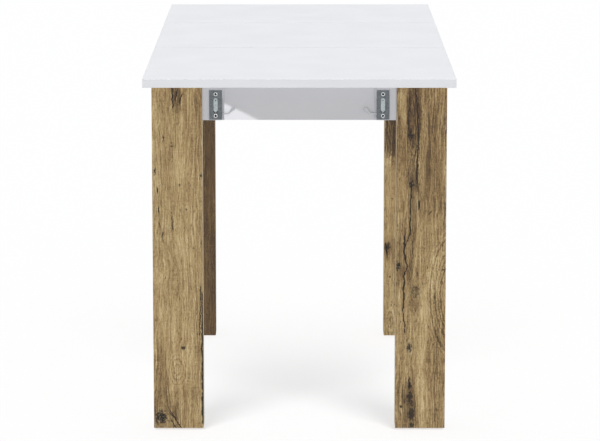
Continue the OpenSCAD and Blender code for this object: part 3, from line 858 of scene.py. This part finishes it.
# A countersunk screw as (radius, depth, lobed), from its star socket out over the head and down to its tip.
SCREW = [
    (0.0, 1.9 * MM, False),
    (2.1 * MM, 1.8 * MM, True),
    (2.2 * MM, 0.35 * MM, True),
    (2.5 * MM, 0.0 * MM, False),
    (3.1 * MM, -0.2 * MM, False),
    (3.8 * MM, -0.1 * MM, False),
    (4.4 * MM, 0.15 * MM, False),
    (4.4 * MM, 0.3 * MM, False),
    (2.0 * MM, 2.0 * MM, False),
    (1.95 * MM, 21.0 * MM, False),
    (0.0, 22.0 * MM, False),
]


def plate_screws():
    """The guide plates' screws, each with a rolled rim and a deep star socket whose inside is painted
    near-black as shade.
    """
    node = "plate_screws"
    lowest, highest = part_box(node)
    shape = bmesh.new()
    for plate in PLATES:
        low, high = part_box(plate)
        inward = 1 if low.y < 0 else -1
        outer = low.y if inward > 0 else high.y
        for z in (lowest.z + SCREW_R, highest.z - SCREW_R):
            place = Vector(((low.x + high.x) / 2, outer, z))
            faces = lathe(shape, SCREW, place, inward)
            # The socket's rings take the near-black material, painted shade inside the recess.
            for face in faces[: LATHE_SIDES * SOCKET_SHADE_RINGS]:
                face.material_index = 1
    bmesh.ops.recalc_face_normals(shape, faces=shape.faces)
    piece(node + "_turned", shape, node, "bright_zinc", SCREW_ZINC, SOCKET_PAINTED_SHADE)


def build_pieces():
    plate_screws()
    for material, slot, radius, nodes in EASED:
        for node in nodes:
            piece(node + "_eased", eased(node, radius * MM), node, slot, material)
    for node, figure in FIGURES.items():
        leg(node, oak("oak_" + node, figure), BARE_BOARD)
    for material, nodes in PAINTED.items():
        for node in nodes:
            paint(node, material)


# ---- Studio ----


# In degrees: how far to each side of the near end the front suns stand, and how high the suns are.
FRONT_TURN = 25
FRONT_RISE = 36
OVERHEAD_RISE = 89

FLOOR_REACH = 60
FLOOR_GREY = 0.36


def seen_or_lit(g, seen, lit):
    """One strength where the camera sees a glow itself, and another where it lights other things."""
    node = g.node("ShaderNodeLightPath")
    return Value(g, node.outputs["Is Camera Ray"]) * (seen - lit) + lit


def floor():
    """A wide grey floor that glows, so that it is near white and still shows faint shadows."""
    shape = bmesh.new()
    bmesh.ops.create_grid(shape, x_segments=8, y_segments=8, size=FLOOR_REACH)
    mesh = bpy.data.meshes.new("floor")
    shape.to_mesh(mesh)
    shape.free()
    made = bpy.data.objects.new("floor", mesh)
    bpy.context.scene.collection.objects.link(made)
    g = Graph("studio_floor")
    material = g.surface(
        (FLOOR_GREY, FLOOR_GREY, FLOOR_GREY),
        0.95,
        Emission_Color=(1.0, 1.0, 1.0),
        Specular_IOR_Level=0.0,
        Emission_Strength=seen_or_lit(g, seen=0.45, lit=0.31),
    )
    made.data.materials.append(material)
    made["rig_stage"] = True
    return made


def named_collection(name, objects):
    made = bpy.data.collections.new(name)
    for obj in objects:
        made.objects.link(obj)
    return made


def towards(azimuth, elevation):
    """The direction of a place in degrees. Azimuth 0 is straight out from the near end, 90 to the right."""
    a, e = math.radians(azimuth), math.radians(elevation)
    return Vector((math.sin(a) * math.cos(e), -math.cos(a) * math.cos(e), math.sin(e)))


def sun(name, azimuth, elevation, strength, softness, lights, shades=None):
    """A distant light, softness degrees wide, that reaches only lights. Only shades block it, if given."""
    data = bpy.data.lights.new(name, "SUN")
    data.energy = strength * math.pi
    data.angle = math.radians(softness)
    made = bpy.data.objects.new(name, data)
    bpy.context.scene.collection.objects.link(made)
    made.rotation_mode = "QUATERNION"
    made.rotation_quaternion = towards(azimuth, elevation).to_track_quat("Z", "Y")
    made.light_linking.receiver_collection = lights
    if shades is not None:
        made.light_linking.blocker_collection = shades


# The side spot: where it stands, in degrees and metres, and the two points that the rim of its light passes
# through, from the near left leg's inner edge and the apron's lower edge.
SPOT_AZIMUTH = -82
SPOT_LIFT = 8
SPOT_DISTANCE = 2.0
SPOT_HALF_ANGLE = 12
SPOT_POWER = 450
RIM_UPPER_IN = 52 * MM
RIM_UPPER_UP = 38 * MM
RIM_LOWER_IN = 129 * MM


def side_spot(lights, shades):
    """A hard light from the left that catches the lower left corner of the near end apron.

    The rim of its round pool of light crosses the apron on a slant, which is nearly straight there.
    """
    low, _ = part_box("end_apron_near")
    _, leg_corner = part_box("leg_near_left")
    upper = Vector((leg_corner.x + RIM_UPPER_IN, low.y, low.z + RIM_UPPER_UP))
    lower = Vector((leg_corner.x + RIM_LOWER_IN, low.y, low.z))
    middle = (upper + lower) / 2
    source = middle + towards(SPOT_AZIMUTH, SPOT_LIFT) * SPOT_DISTANCE
    across = (upper - source).cross(lower - source).normalized()
    if across.z > 0:
        across = -across
    half = math.radians(SPOT_HALF_ANGLE)
    aim = (middle - source).normalized() * math.cos(half) + across * math.sin(half)
    data = bpy.data.lights.new("side_spot", "SPOT")
    data.energy = SPOT_POWER
    data.spot_size = 2 * half
    data.spot_blend = 0.012
    data.shadow_soft_size = 0.001
    made = bpy.data.objects.new("side_spot", data)
    bpy.context.scene.collection.objects.link(made)
    made.location = source
    made.rotation_mode = "QUATERNION"
    made.rotation_quaternion = aim.to_track_quat("-Z", "Y")
    made.light_linking.receiver_collection = lights
    made.light_linking.blocker_collection = shades


# Pieces under the edge of the top, which the front suns leave to the light of the surroundings.
SHELTERED = ("end_apron", "guide_plate", "upper_batten", "lower_batten", "rail_cover", "side_apron")


def lamps(ground):
    """Light from above on the top, and from both sides of the near end on the open pieces and the floor.

    On the floor each near leg's shadow comes from a sun of its own, and the two shadows cross.
    """
    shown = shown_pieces()
    legs = [o for o in shown if o.name.startswith("leg_") and o.name.endswith("_wrapped")]
    boards = [NODES[node] for node in PAINTED[WHITE_TOP]]
    edgings = [o for o in shown if "_edging" in o.name]
    open_pieces = [o for o in shown if not o.name.startswith(SHELTERED) and o not in boards]
    all_legs = named_collection("legs", legs)
    open_set = named_collection("open", open_pieces)
    ground_set = named_collection("ground", [ground])
    own_leg = {
        side: named_collection(side, [o for o in legs if o.name == f"leg_near_{side}_wrapped"])
        for side in ("left", "right")
    }
    board_set = named_collection("boards", boards)
    sun("overhead", 0, OVERHEAD_RISE, strength=0.64, softness=40, lights=board_set)
    edging_set = named_collection("edgings", edgings)
    sun("overhead_rim", 0, OVERHEAD_RISE, strength=0.42, softness=40, lights=edging_set)
    for side, turn, strength in (("left", -FRONT_TURN, 0.21), ("right", FRONT_TURN, 0.16)):
        sun("front_" + side, turn, FRONT_RISE, strength, softness=8, lights=open_set, shades=all_legs)
    for side, turn in (("left", -FRONT_TURN), ("right", FRONT_TURN)):
        shades = own_leg[side]
        sun("floor_" + side, turn, FRONT_RISE, strength=0.88, softness=30, lights=ground_set, shades=shades)
    near_end = named_collection("near_end", [o for o in shown if o.name.startswith("end_apron_near")])
    side_spot(near_end, own_leg["left"])


SKY_TINT = (0.99, 0.995, 1.0, 1.0)
SKY_SEEN = 1.0
SKY_LIT = 0.48


def surroundings():
    """A white sky to the camera that lights the table with about half that strength."""
    world = bpy.data.worlds.new("studio")
    bpy.context.scene.world = world
    world.use_nodes = True
    tree = world.node_tree
    background = tree.nodes["Background"]
    path = tree.nodes.new("ShaderNodeLightPath")
    strength = tree.nodes.new("ShaderNodeMapRange")
    strength.inputs["To Min"].default_value = SKY_LIT
    strength.inputs["To Max"].default_value = SKY_SEEN
    background.inputs["Color"].default_value = SKY_TINT
    tree.links.new(path.outputs["Is Camera Ray"], strength.inputs["Value"])
    tree.links.new(strength.outputs[0], background.inputs["Strength"])


# Fitted to the photo: metres, degrees, and millimetres for the lens.
CAMERA_PLACE = (0.0068, -7.3595, 1.6219)
CAMERA_DOWN = 9.915
CAMERA_LEFT = 0.046
LENS = 186.99
FILM_WIDTH = 36.0
VIEW_REACH = 200.0


def camera():
    """A long lens in front of the near end, above the table and looking down on it."""
    data = bpy.data.cameras.new("camera")
    data.sensor_width = FILM_WIDTH
    data.lens = LENS
    data.clip_end = VIEW_REACH
    made = bpy.data.objects.new("camera", data)
    made.location = CAMERA_PLACE
    made.rotation_euler = (math.radians(90 - CAMERA_DOWN), 0.0, math.radians(CAMERA_LEFT))
    bpy.context.scene.collection.objects.link(made)
    bpy.context.scene.camera = made


bpy.context.scene.view_settings.view_transform = "Standard"
camera()
build_pieces()
lamps(floor())
surroundings()
